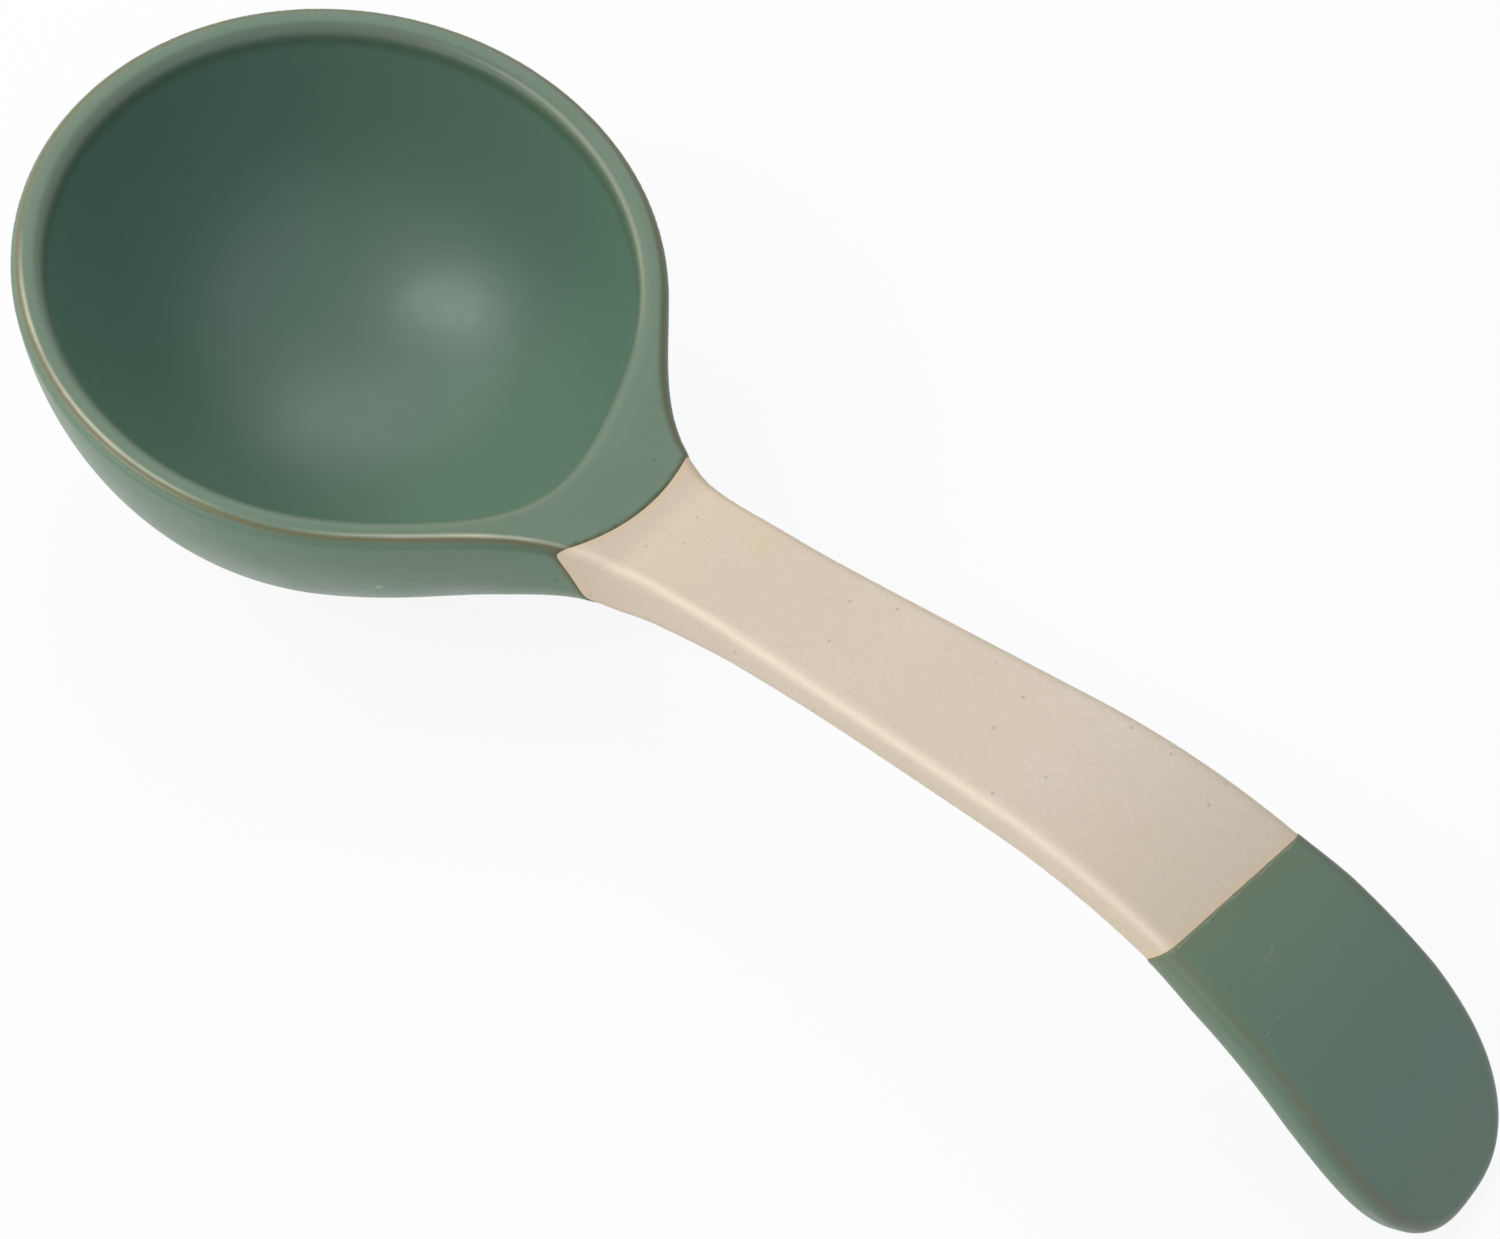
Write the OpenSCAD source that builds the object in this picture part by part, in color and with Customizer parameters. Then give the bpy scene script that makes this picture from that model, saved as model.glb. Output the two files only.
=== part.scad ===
// Soup ladle in glazed stoneware: a thrown bowl, a flat arched handle luted to its wall,
// one glaze dip over the bowl and neck, and a second dip over the handle's end.
//
// Drawn first with the bowl level: rim plane at z = 0, bowl axis on z, handle towards +x.
// Then tilted into the way the ladle lies on a table, on its foot and the handle's end,
// with the table at z = 0 and the centre of the foot at the origin.

/* [Bowl] */
// Outer diameter of the clay bowl
bowl_d = 82; // [75:0.5:89]
// Clay wall thickness
wall_t = 3.2; // [2.8:0.1:4.2]
// Height of the rim plane above the centre of the round wall
wall_h = 0.5; // [0.1:0.1:0.6]
// Rounding of the lip's outer edge
lip_out_r = 0.9; // [0.7:0.1:1.2]
// Rounding of the lip's inner edge
lip_in_r = 1.4; // [0.8:0.1:1.6]

/* [Foot] */
// How much is ground off the round bottom to make the flat foot
foot_cut = 1.4; // [0.8:0.1:2]
// Diameter around the foot that is wiped free of glaze
foot_bare_d = 29; // [27:0.5:34]

/* [Handle] */
// Distance from the bowl axis to the neck, where the handle proper starts
neck_x = 52; // [50:0.5:56]
// Angle at which the handle climbs from the rim
climb = 16; // [10:0.5:22]
// Radius of the hollow where the handle starts to climb
hollow_r = 8; // [6:1:24]
// Straight length of the climb
climb_len = 56.5; // [46:0.5:66]
// Radius of the arched end, along its top face
arch_r = 71; // [60:1:85]
// Slope of the handle's end, downwards
dip = 45.5; // [39:0.5:51]
// Width of the handle at its narrowest
neck_w = 17.6; // [15:0.2:20]
// Width of the handle near its end
end_w = 26.6; // [23:0.2:30]
// Length over which the end is rounded in plan
end_len = 25; // [20:1:32]
// Squareness of the rounded end, where 2 is an ellipse
end_power = 2.6; // [2:0.1:4]
// Width of the flat left at the very end
end_flat = 6; // [4:0.5:8]
// Thickness of the handle past the neck
thick = 6.4; // [6:0.1:8]
// Thickness of the handle's end
end_thick = 6; // [5.6:0.1:7.5]
// Extra thickness at the neck
neck_deep = 3.4; // [2:0.1:5]
// Rounding of the top edges
top_r = 2; // [1.5:0.1:2.4]
// Rounding of the lower edges
belly_r = 2.8; // [2.2:0.1:3]

/* [Neck] */
// Angle to each side that the root spreads along the rim
spread = 50; // [40:1:55]
// How far down the bowl's wall the root reaches
root_drop = 19; // [16:0.5:22]
// Extra half width where the root meets the handle
neck_flare = 1; // [0.4:0.1:2]
// How closely the root's edges follow the rim as they leave it
rim_follow = 0.78; // [0.65:0.01:0.78]
// How full the sweep from wall to handle is
sweep = 0.95; // [0.6:0.05:1]
// How far the glaze runs past the clay root on the bowl's wall
toe = 2.5; // [2:0.1:3]

/* [Glaze] */
// Thickness of the glaze, and of the slip under the root
glaze_t = 0.5; // [0.4:0.05:0.7]
// Share of the neck sweep that the bowl's glaze covers
neck_dip = 0.9; // [0.8:0.02:0.96]
// Distance along the handle from neck to the end's glaze
tip_line = 86.2; // [70:0.2:98]
// Lean of the end's glaze line across the handle
tip_lean = 0.12; // [-0.15:0.01:0.15]

/* [Hidden] */
$fn = 96;

clay = "BurlyWood";
slip = "Tan";
green = "DarkSeaGreen";

bowl_r = bowl_d / 2;
coat_r = bowl_r + glaze_t;
round_c = [0, -wall_h];

// Centres of the lip's two roundings, each of which touches the round wall.
out_c = [sqrt(pow(bowl_r - lip_out_r, 2) - pow(lip_out_r - wall_h, 2)), -lip_out_r];
in_c = [sqrt(pow(bowl_r - wall_t + lip_in_r, 2) - pow(lip_in_r - wall_h, 2)), -lip_in_r];
function unit(v) = v / norm(v);

// The spine is the middle of the handle's top face: a hollow, a straight and an arch.
hollow_len = hollow_r * climb * PI / 180;
arch_len = arch_r * (climb + dip) * PI / 180;
spine_len = hollow_len + climb_len + arch_len;
climb_x = neck_x + hollow_r * sin(climb);
climb_z = hollow_r * (1 - cos(climb));
arch_x = climb_x + climb_len * cos(climb);
arch_z = climb_z + climb_len * sin(climb);

function pitch(s) =
    s < hollow_len ? s / hollow_len * climb :
    s < hollow_len + climb_len ? climb :
    climb - (s - hollow_len - climb_len) / arch_r * 180 / PI;

function spine(s) =
    let (p = pitch(s))
    s < hollow_len ? [neck_x + hollow_r * sin(p), hollow_r * (1 - cos(p))] :
    s < hollow_len + climb_len ?
        [climb_x + (s - hollow_len) * cos(climb), climb_z + (s - hollow_len) * sin(climb)] :
        [arch_x + arch_r * (sin(climb) - sin(p)), arch_z + arch_r * (cos(p) - cos(climb))];

// Half width in plan: a flare at the neck, a slow widening, and the rounded end.
flare_len = 18;
taper_power = 1.15;
function taper(s) = min(1, max(0, (s - flare_len) / (spine_len - end_len - flare_len)));
function end_share(s) = min(1, max(0, (s - spine_len + end_len) / end_len));
function half_w(s) =
    (neck_w / 2 + (end_w - neck_w) / 2 * pow(taper(s), taper_power)
        + neck_flare * pow(max(0, 1 - s / flare_len), 2))
    * pow(1 - pow(end_share(s), end_power), 1 / end_power);

// Depth of the section: slowly thinner, and deeper over a length next to the neck.
deep_len = 40;
function thickness(s) =
    thick + (end_thick - thick) * max(0, s - flare_len) / (spine_len - flare_len)
        + neck_deep * pow(max(0, 1 - s / deep_len), 2);

// How far an edge of radius r has rounded over at a distance d from the end.
function rounded(r, d) = d >= r ? 0 : r - sqrt(r * r - (r - max(0, d)) * (r - max(0, d)));

// Points of one section, clockwise from the left of the top face seen from the end:
// the flat top, then down one side to the middle of the belly and up the other.
top_n = 13;
side_n = 12;
ring_n = top_n + 2 * side_n - 1;

// Place of point i below the top face: 0 on top, 1 at the middle of the belly.
function down(i) = i < top_n ? 0 : 1 - abs(i - top_n + 1 - side_n) / side_n;
function hand(i) = i < top_n + side_n - 1 ? 1 : -1;

// One half of the section from its top edge to the middle of the belly, as [y, depth].
function side_point(k, w, t, b, rt, rb) =
    k <= 4 ? [w - rt + rt * sin(22.5 * k), t + rt - rt * cos(22.5 * k)] :
    k <= 9 ? [w - rb + rb * cos(22.5 * (k - 5)), b - rb + rb * sin(22.5 * (k - 5))] :
    [(w - rb) * (side_n - k) / 3, b];

// Largest share of the half width, and of the depth, that one edge's rounding may take.
edge_w = 0.9;
edge_deep = 0.45;

// How far the lower edge has turned towards the end, and the section, grown by g to the sides.
function end_turn(s) = asin(max(0, 1 - (spine_len - s) / belly_r));
function section_point(i, s, g) =
    let (d = spine_len - s,
         out = g * cos(end_turn(s)),
         w = max(end_flat / 2, half_w(s)) + out,
         t = rounded(top_r, d) - out,
         b = thickness(s) - rounded(belly_r, d) + out,
         room = edge_deep * (b - t),
         rt = min(top_r + out, edge_w * w, room),
         rb = min(belly_r + out, edge_w * w, room))
    i < top_n ? [(w - rt) * (2 * i / (top_n - 1) - 1), t] :
    let (p = side_point(round(down(i) * side_n), w, t, b, rt, rb))
    [hand(i) * p[0], p[1]];

function handle_point(i, s, g) =
    let (p = pitch(s),
         c = spine(s) + g * sin(end_turn(s)) * [cos(p), sin(p)],
         q = section_point(i, s, g))
    [c[0] + q[1] * sin(p), q[0], c[1] - q[1] * cos(p)];

// The bowl's glazed wall, which the root stands on.
lip_r = lip_out_r + glaze_t;
lip_z = (round_c + coat_r * unit(out_c - round_c))[1];
function wall_r(z) =
    z > lip_z ? out_c[0] + sqrt(max(0, lip_r * lip_r - pow(z - out_c[1], 2))) :
    sqrt(coat_r * coat_r - pow(z + wall_h, 2));
function on_wall(a, z) = [wall_r(z) * cos(a), wall_r(z) * sin(a), z];

// How quickly the lip's arc straightens along the top of the root.
top_bow = 1.75;

// Outline of the root on the wall: along the lip, and a half oval under it.
// The clay stops short of the glaze by the toe, so that the glaze thins out over it.
function short(g) = toe * (1 - g / glaze_t);
function root_angle(i, g) =
    let (m = spread - short(g) / bowl_r * 180 / PI)
    i < top_n ? m * (2 * i / (top_n - 1) - 1) : hand(i) * m * cos(90 * down(i));
function root_z(i, g) = g - (root_drop + g - short(g)) * sin(90 * down(i));

// The root leaves the wall along the wall and sweeps into the handle's direction.
function leave(i, g) =
    let (a = root_angle(i, g),
         z = root_z(i, g),
         m = root_angle(top_n - 1, g),
         q = 90 - abs(a) + (rim_follow * m + m - 90) * pow(1 - down(i), 3),
         up = z > -wall_h ? [0, 0, 1] :
             [-(z + wall_h) / coat_r * cos(a), -(z + wall_h) / coat_r * sin(a), wall_r(z) / coat_r])
    cos(90 * down(i)) * [cos(q), -sign(a) * sin(q), 0] + sin(90 * down(i)) * up;

// Edges, sides and belly of the root.
function root_side(i, t, g) =
    let (p0 = on_wall(root_angle(i, g), root_z(i, g)),
         p1 = handle_point(i, 0, g),
         reach = sweep * norm(p1 - p0),
         lean = -2 * neck_flare / flare_len * p1[1] / half_w(0),
         t0 = reach * leave(i, g),
         t1 = reach * [1, lean, 0],
         u = 1 - t)
    (1 + 2 * t) * u * u * p0 + t * u * u * t0 + t * t * (3 - 2 * t) * p1 - t * t * u * t1;

// Top of the root: level, from the lip's arc to a straight line between its two edges.
function root_top(i, t, g) =
    let (e = root_side(top_n - 1, t, g),
         m = root_angle(top_n - 1, g),
         a = root_angle(i, g))
    [e[0] + wall_r(g) * pow(1 - t, top_bow) * (cos(a) - cos(m)), e[1] * sin(a) / sin(m), g];

function root_point(i, t, g) =
    i > 0 && i < top_n - 1 ? root_top(i, t, g) : root_side(i, t, g);

// Surface of the glaze over the root: the clay's surface moved out by the glaze's thickness,
// which starts at a share of it where the root lands on the wall.
landing_share = 0.4;
function root_glaze(i, t) =
    let (p = root_point(i, t, 0),
         across = unit(root_point((i + 1) % ring_n, t, 0) - p)
             + unit(p - root_point((i + ring_n - 1) % ring_n, t, 0)),
         ahead = root_point(i, t + 0.01, 0) - root_point(i, t - 0.01, 0),
         share = t == 0 && i >= top_n ? landing_share : 1)
    p + share * glaze_t * unit(cross(ahead, across));

// Patch of the wall inside the root's outline, drawn in towards its middle.
function seat_point(i, k, g) =
    let (mid = -root_drop / 3)
    on_wall(root_angle(i, g) * k, mid + (root_z(i, g) - mid) * k);

function loop(f) = [for (i = [0:ring_n - 1]) f(i)];

// Stations along the root and along the handle, closer where the shape turns.
root_t = [for (k = [0:8]) k / 8];
seat_k = [0.25, 0.5, 0.72, 0.86, 0.94, 0.98];
end_n = 12;
end_s = [for (k = [1:end_n]) spine_len - end_len * (1 - sin(90 * k / end_n))];
body_n = 22;
body_s = [for (k = [1:body_n]) (spine_len - end_len) * k / body_n];

function strip(a, b) =
    [for (i = [0:ring_n - 1]) [a + i, a + (i + 1) % ring_n, b + (i + 1) % ring_n, b + i]];
function back(faces) = [for (f = faces) [for (k = [len(f) - 1:-1:0]) f[k]]];
function flat(rings) = [for (r = rings) each r];

// Triangles from a ring that starts at point a to the single point m.
function fan(a, m) = [for (i = [0:ring_n - 1]) [a + i, a + (i + 1) % ring_n, m]];
function middle(ring) = [for (p = ring) 1] * ring / ring_n;

// A solid through a row of rings, closed at each end round a single point.
module loft(rings, first, last) {
    n = len(rings);
    polyhedron(
        concat(flat(rings), [first, last]),
        concat(
            back(fan(0, n * ring_n)),
            [for (k = [0:n - 2]) each strip(k * ring_n, (k + 1) * ring_n)],
            fan((n - 1) * ring_n, n * ring_n + 1)
        ),
        convexity = 8
    );
}

// A skin between an outer and an inner row of rings, closed round both ends.
module skin(outer, inner) {
    rings = concat([for (k = [len(outer) - 1:-1:0]) outer[k]], inner);
    n = len(rings);
    polyhedron(
        flat(rings),
        back([for (k = [0:n - 1]) each strip(k * ring_n, (k + 1) % n * ring_n)]),
        convexity = 8
    );
}

// A cap: an outer and an inner row of rings, joined at the first and closed at the last.
module cap(outer, inner) {
    n = len(outer);
    far = n * ring_n;
    polyhedron(
        concat(flat(outer), flat(inner), [middle(outer[n - 1]), middle(inner[n - 1])]),
        concat(
            [for (k = [0:n - 2]) each strip(k * ring_n, (k + 1) * ring_n)],
            fan(far - ring_n, 2 * far),
            back([for (k = [0:n - 2]) each strip(far + k * ring_n, far + (k + 1) * ring_n)]),
            back(fan(2 * far - ring_n, 2 * far + 1)),
            back(strip(0, far))
        ),
        convexity = 8
    );
}

// Lying on the table: the tilt that brings the foot and the end's glaze down to one plane.
rest_s = spine_len - belly_r;
rest_c = spine(rest_s) + (thickness(rest_s) - belly_r) * [sin(pitch(rest_s)), -cos(pitch(rest_s))];
rest_arm = rest_c - round_c;
foot_h = bowl_r - foot_cut;
rest_tilt = atan2(rest_arm[1], rest_arm[0]) + asin((foot_h - belly_r - glaze_t) / norm(rest_arm));

module resting() {
    translate([0, 0, foot_h]) rotate([0, rest_tilt, 0]) translate([0, 0, wall_h]) children();
}

// Wall of the bowl as a flat shape to turn, grown all round by g.
module bowl_section(g) {
    r = bowl_r + g;
    ri = bowl_r - wall_t - g;
    out_t = round_c + r * unit(out_c - round_c);
    in_t = round_c + ri * unit(in_c - round_c);
    beyond = r * unit(out_t - in_t);
    core = (in_t + out_t) / 2 - [0, wall_t / 4];
    intersection() {
        translate(round_c) difference() {
            circle(r);
            circle(ri);
        }
        polygon([in_t - 2 * beyond, out_t + beyond, [2 * r, -2 * r], [-2 * r, -2 * r]]);
    }
    polygon([in_t, core, out_t, out_c, [out_c[0], g], [in_c[0], g], in_c]);
    translate(out_c) circle(lip_out_r + g);
    translate(in_c) circle(lip_in_r + g);
}

module bowl_turned(g) {
    rotate_extrude() intersection() {
        bowl_section(g);
        translate([0, -2 * bowl_r]) square([2 * bowl_r, 3 * bowl_r]);
    }
}

// Window in the coat behind the root, where slip takes the place of glaze.
module root_window() {
    window_w = 0.7 * bowl_r;
    difference() {
        translate([0, -window_w / 2, -0.7 * root_drop]) cube([2 * bowl_r, window_w, 0.5 * root_drop]);
        translate([0, 0, -2 * root_drop]) cylinder(r = bowl_r - wall_t / 2, h = 3 * root_drop);
    }
}

module coat() {
    difference() {
        rotate_extrude() intersection() {
            difference() {
                bowl_section(glaze_t);
                bowl_section(0);
            }
            translate([0, -2 * bowl_r]) square([2 * bowl_r, 3 * bowl_r]);
        }
        translate([0, 0, -wall_h]) difference() {
            rotate([0, -rest_tilt, 0]) translate([0, 0, -2 * bowl_r]) cylinder(d = foot_bare_d, h = 2 * bowl_r);
            sphere(bowl_r - wall_t / 2);
        }
    }
}

module bowl() {
    color(clay) difference() {
        resting() bowl_turned(0);
        translate([0, 0, -bowl_r]) cylinder(r = bowl_r, h = bowl_r);
    }
}

module slip_joint() {
    color(slip) resting() intersection() {
        coat();
        root_window();
    }
}

module bowl_glaze() {
    color(green) resting() difference() {
        coat();
        root_window();
    }
}

module handle() {
    seat = [for (k = seat_k) loop(function(i) seat_point(i, k, 0))];
    root = [for (t = root_t) loop(function(i) root_point(i, t, 0))];
    body = [for (s = concat(body_s, end_s)) loop(function(i) handle_point(i, s, 0))];
    rings = concat(seat, root, body);
    color(clay) resting() loft(rings, on_wall(0, -root_drop / 3), middle(rings[len(rings) - 1]));
}

module neck_glaze() {
    landing = loop(function(i) root_point(i, 0, glaze_t));
    outer = concat([landing], [for (t = root_t) loop(function(i) root_glaze(i, t * neck_dip))]);
    inner = [for (t = root_t) loop(function(i) root_point(i, t * neck_dip, 0))];
    color(green) resting() skin(outer, inner);
}

module tip_glaze() {
    steps = [for (k = [0:15]) sin(90 * k / 15)];
    at = function(i, k) let (s = tip_line + tip_lean * section_point(i, tip_line, 0)[0]) s + (spine_len - s) * k;
    inner = [for (k = steps) loop(function(i) handle_point(i, at(i, k), 0))];
    outer = [for (k = steps) loop(function(i) handle_point(i, at(i, k), glaze_t))];
    color(green) resting() cap(outer, inner);
}

bowl();
handle();
slip_joint();
bowl_glaze();
neck_glaze();
tip_glaze();
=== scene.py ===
import math

import bpy
import numpy as np
from mathutils import Matrix, Vector


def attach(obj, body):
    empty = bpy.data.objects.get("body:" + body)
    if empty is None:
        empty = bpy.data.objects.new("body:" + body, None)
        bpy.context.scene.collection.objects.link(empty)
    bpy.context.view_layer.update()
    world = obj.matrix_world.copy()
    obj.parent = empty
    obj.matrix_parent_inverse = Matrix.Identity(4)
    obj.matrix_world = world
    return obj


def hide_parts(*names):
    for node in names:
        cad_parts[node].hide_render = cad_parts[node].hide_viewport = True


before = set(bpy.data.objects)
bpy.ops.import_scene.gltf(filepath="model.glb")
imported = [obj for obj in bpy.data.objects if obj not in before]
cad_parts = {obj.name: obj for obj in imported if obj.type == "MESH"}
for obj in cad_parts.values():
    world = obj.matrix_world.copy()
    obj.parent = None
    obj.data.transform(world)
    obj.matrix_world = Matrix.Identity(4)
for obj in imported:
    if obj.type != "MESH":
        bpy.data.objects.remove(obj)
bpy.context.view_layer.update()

# Soup ladle in glazed stoneware. The bowl, the flared neck and the handle are one soft form,
# so the clay and its two glaze dips are cut from one smooth field: a distance that is zero on
# the clay's surface. Shapes are in millimetres in the level frame, with the bowl's rim at z = 0,
# its axis on z and the handle towards +x, and are tilted onto the table at the end.

MM = 0.001

# Bowl, as in the part's source
BOWL_R = 41.0
WALL_T = 3.2
WALL_H = 0.5
LIP_OUT_R = 0.9
LIP_IN_R = 1.4
FOOT_CUT = 1.4
FOOT_EDGE_R = 0.4
FOOT_BARE_R = 14.5
# The belly of the bowl hangs a little to one side, as thrown bowls do
BELLY_X = 1.4
BELLY_Y = 0.5
# The mouth is drawn out a little towards the handle, somewhat off its middle, with a crisper edge there
MOUTH_PULL = 3.7
MOUTH_PULL_DEPTH = 18.0
MOUTH_TURN = math.radians(-11)
MOUTH_SPREAD = math.radians(14)
MOUTH_EDGE_R = 0.7

# Handle
NECK_X = 52.0
CLIMB = math.radians(16)
HOLLOW_R = 8.0
CLIMB_LEN = 56.5
ARCH_R = 71.0
DIP = math.radians(45.5)
NECK_W = 17.6
END_W = 26.6
END_LEN = 25.0
END_POWER = 2.6
THICK = 6.4
END_THICK = 6.0
TOP_R = 2.0
BELLY_R = 2.8
TAPER_FROM = 18.0
TAPER_STOP = 25.0
TAPER_POWER = 1.15
NECK_BLEND = 20.3
# The neck is thicker and was set a little towards one side by hand, and the handle leads back
NECK_DEEP = 3.2
NECK_DEEP_LEN = 40.0
NECK_DEEP_MOST = 1.25
NECK_SIDE = 0.55
NECK_SIDE_LEN = 20.0
NECK_SIDE_MOST = 2.0
HANDLE_TURN = 0.005
# The crisp edge of the lip turns softer along the handle
EDGE_SOFT_FROM = 48.0
EDGE_SOFT_LEN = 25.0

# Glaze: full thickness and the run up to it, the step at its edge, and its lines on the handle
GLAZE_T = 0.5
GLAZE_RUN = 9.0
GLAZE_EDGE_T = 0.14
GLAZE_EDGE = 0.5
NECK_LINE_X = 50.5
NECK_LINE_LEAN = 0.05
NECK_LINE_BOW = 0.019
NECK_LINE_FALL = 0.45
TIP_LINE = 86.2
TIP_LEAN = 0.12
TIP_FALL = 0.25

# Mesh: step and margin of the grid, reach for slopes, and the cut between the two clays
STEP = 0.6
GRID_MARGIN = 3.0
SLOPE_REACH = 0.05
ROOT_CUT_X = 44.0
# Depth of the glaze's inside under the clay's surface, and the least flatness of its edge
SUNK = 0.05
LEAST_FLAT = 0.03
# Stands for a place that no edge or line is near to, and guards against dividing by nothing
FAR = 50.0
TINY = 1e-9
TINY_SLOPE = 1e-6

HOLLOW_LEN = HOLLOW_R * CLIMB
SPINE_LEN = HOLLOW_LEN + CLIMB_LEN + ARCH_R * (CLIMB + DIP)
CLIMB_X = NECK_X + HOLLOW_R * math.sin(CLIMB)
CLIMB_Z = HOLLOW_R * (1 - math.cos(CLIMB))
ARCH_X = CLIMB_X + CLIMB_LEN * math.cos(CLIMB) + ARCH_R * math.sin(CLIMB)
ARCH_Z = CLIMB_Z + CLIMB_LEN * math.sin(CLIMB) - ARCH_R * math.cos(CLIMB)


def rest_tilt():
    """Tilt that brings the ground foot and the glazed end of the handle down to one plane."""
    angle = (SPINE_LEN - BELLY_R - HOLLOW_LEN - CLIMB_LEN) / ARCH_R - CLIMB
    reach = ARCH_R - END_THICK + BELLY_R
    x = ARCH_X + reach * math.sin(angle)
    z = ARCH_Z + reach * math.cos(angle) + WALL_H
    drop = BOWL_R - FOOT_CUT - BELLY_R - GLAZE_T
    return math.atan2(z, x) + math.asin(drop / math.hypot(x, z))


TILT = rest_tilt()
LEVEL_TO_TABLE = (
    Matrix.Translation((0, 0, (BOWL_R - FOOT_CUT) * MM))
    @ Matrix.Rotation(TILT, 4, "Y")
    @ Matrix.Translation((0, 0, WALL_H * MM))
    @ Matrix.Scale(MM, 4)
)


def along_handle(x, z):
    """Distance along the handle's top face from the neck, and depth under that face."""
    turn = np.arctan2(x - NECK_X, HOLLOW_R - z)
    along = (x - CLIMB_X) * math.cos(CLIMB) + (z - CLIMB_Z) * math.sin(CLIMB)
    lean = np.arctan2(x - ARCH_X, z - ARCH_Z)
    where = [x < NECK_X, (along < 0) & (turn < CLIMB), along < CLIMB_LEN]
    s = np.select(
        where,
        [x - NECK_X, HOLLOW_R * turn, HOLLOW_LEN + along],
        HOLLOW_LEN + CLIMB_LEN + ARCH_R * (CLIMB + lean),
    )
    depth = np.select(
        where,
        [
            -z,
            np.hypot(x - NECK_X, HOLLOW_R - z) - HOLLOW_R,
            (x - CLIMB_X) * math.sin(CLIMB) - (z - CLIMB_Z) * math.cos(CLIMB),
        ],
        ARCH_R - np.hypot(x - ARCH_X, z - ARCH_Z),
    )
    return s, depth


def beside_handle(s, y):
    """Distance from the handle's outline in plan, with its rounded end."""
    taper = np.clip((s - TAPER_FROM) / (SPINE_LEN - TAPER_STOP - TAPER_FROM), 0, 1)
    half = NECK_W / 2 + (END_W - NECK_W) / 2 * taper**TAPER_POWER
    across = np.abs(y) / half + TINY
    ahead = np.clip((s - SPINE_LEN + END_LEN) / END_LEN, 0, None)
    size = (across**END_POWER + ahead**END_POWER) ** (1 / END_POWER)
    slope_y = (across / size) ** (END_POWER - 1) / half
    slope_s = (ahead / size) ** (END_POWER - 1) / END_LEN
    return (size - 1) / np.hypot(slope_y, slope_s)


def rounded_both(a, b, r):
    """Common part of two forms, with the edge between them rounded to radius r."""
    u = a + r
    v = b + r
    return np.hypot(np.maximum(u, 0), np.maximum(v, 0)) + np.minimum(np.maximum(u, v), 0) - r


def melted(a, b, k):
    """Either of two forms, flowing into each other over the distance k."""
    h = np.maximum(k - np.abs(a - b), 0) / k
    return np.minimum(a, b) - h * h * k / 4


def under_foot(p):
    """Distance below the plane of the ground foot."""
    down = np.array([math.sin(TILT), 0, -math.cos(TILT)])
    return (p + np.array([0, 0, WALL_H])) @ down - (BOWL_R - FOOT_CUT)


def faces_of_clay(p):
    """Distances from the outer form, the top face and the hollow, and the radii of their edges."""
    x, y, z = p[..., 0], p[..., 1], p[..., 2]
    lean = np.sin(math.pi * np.clip(-z / BOWL_R, 0, 1))
    ball = np.hypot(np.hypot(x - BELLY_X * lean, y - BELLY_Y * lean), np.minimum(z + WALL_H, 0))
    s, depth = along_handle(x, z)
    thick = THICK + (END_THICK - THICK) * np.clip((s - TAPER_FROM) / (SPINE_LEN - TAPER_FROM), 0, 1)
    near = np.clip(1 - s / NECK_DEEP_LEN, 0, NECK_DEEP_MOST) ** 2
    thick = thick + NECK_DEEP * near
    aside = np.clip(1 - s / NECK_SIDE_LEN, 0, NECK_SIDE_MOST) ** 2
    middle = HANDLE_TURN * np.maximum(s, 0) - NECK_SIDE * aside
    bar = np.maximum(rounded_both(beside_handle(s, y - middle), depth - thick, BELLY_R), -x)
    form = melted(ball - BOWL_R, bar, NECK_BLEND)
    away = np.clip((x - EDGE_SOFT_FROM) / EDGE_SOFT_LEN, 0, 1)
    edge_r = LIP_OUT_R + (TOP_R - LIP_OUT_R) * away
    turn = (np.arctan2(y, x) - MOUTH_TURN) / MOUTH_SPREAD
    drawn = np.exp(-(turn**2) / 2) * np.clip(1 + z / MOUTH_PULL_DEPTH, 0, 1) ** 2
    inner_r = LIP_IN_R + (MOUTH_EDGE_R - LIP_IN_R) * drawn
    return form, -depth, BOWL_R - WALL_T + MOUTH_PULL * drawn - ball, edge_r, inner_r


def clay(p):
    """Distance from the clay's surface, below zero inside the clay."""
    form, top, hollow, edge_r, inner_r = faces_of_clay(p)
    walled = rounded_both(rounded_both(form, top, edge_r), hollow, inner_r)
    return rounded_both(walled, under_foot(p), FOOT_EDGE_R)


def round_edge(a, b, r):
    """Millimetres round the edge from face a to b: 0 where its rounding starts, below 0 on face a."""
    u = a + r
    v = b + r
    place = r * np.arctan2(np.maximum(v, 0), np.maximum(u, 0)) + np.minimum(v, 0) - np.minimum(u, 0)
    return np.where((u < 0) & (v < 0), FAR, place)


def edge_places(p):
    """Millimetres round the top's outer edge, and round the edge from the hollow to the top."""
    form, top, hollow, edge_r, inner_r = faces_of_clay(p)
    return round_edge(form, top, edge_r), round_edge(hollow, rounded_both(form, top, edge_r), inner_r)


def slope(measure, p):
    """How fast a measure grows along x, y and z."""
    grad = np.empty_like(p)
    for axis in range(3):
        shift = np.zeros(3)
        shift[axis] = SLOPE_REACH
        grad[..., axis] = (measure(p + shift) - measure(p - shift)) / (2 * SLOPE_REACH)
    return grad


def onto_surface(p, rounds=4):
    """Moves points straight onto the clay's surface."""
    for _ in range(rounds):
        grad = slope(clay, p)
        p = p - grad * (clay(p) / np.maximum((grad**2).sum(-1), TINY_SLOPE))[:, None]
    return p


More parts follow.
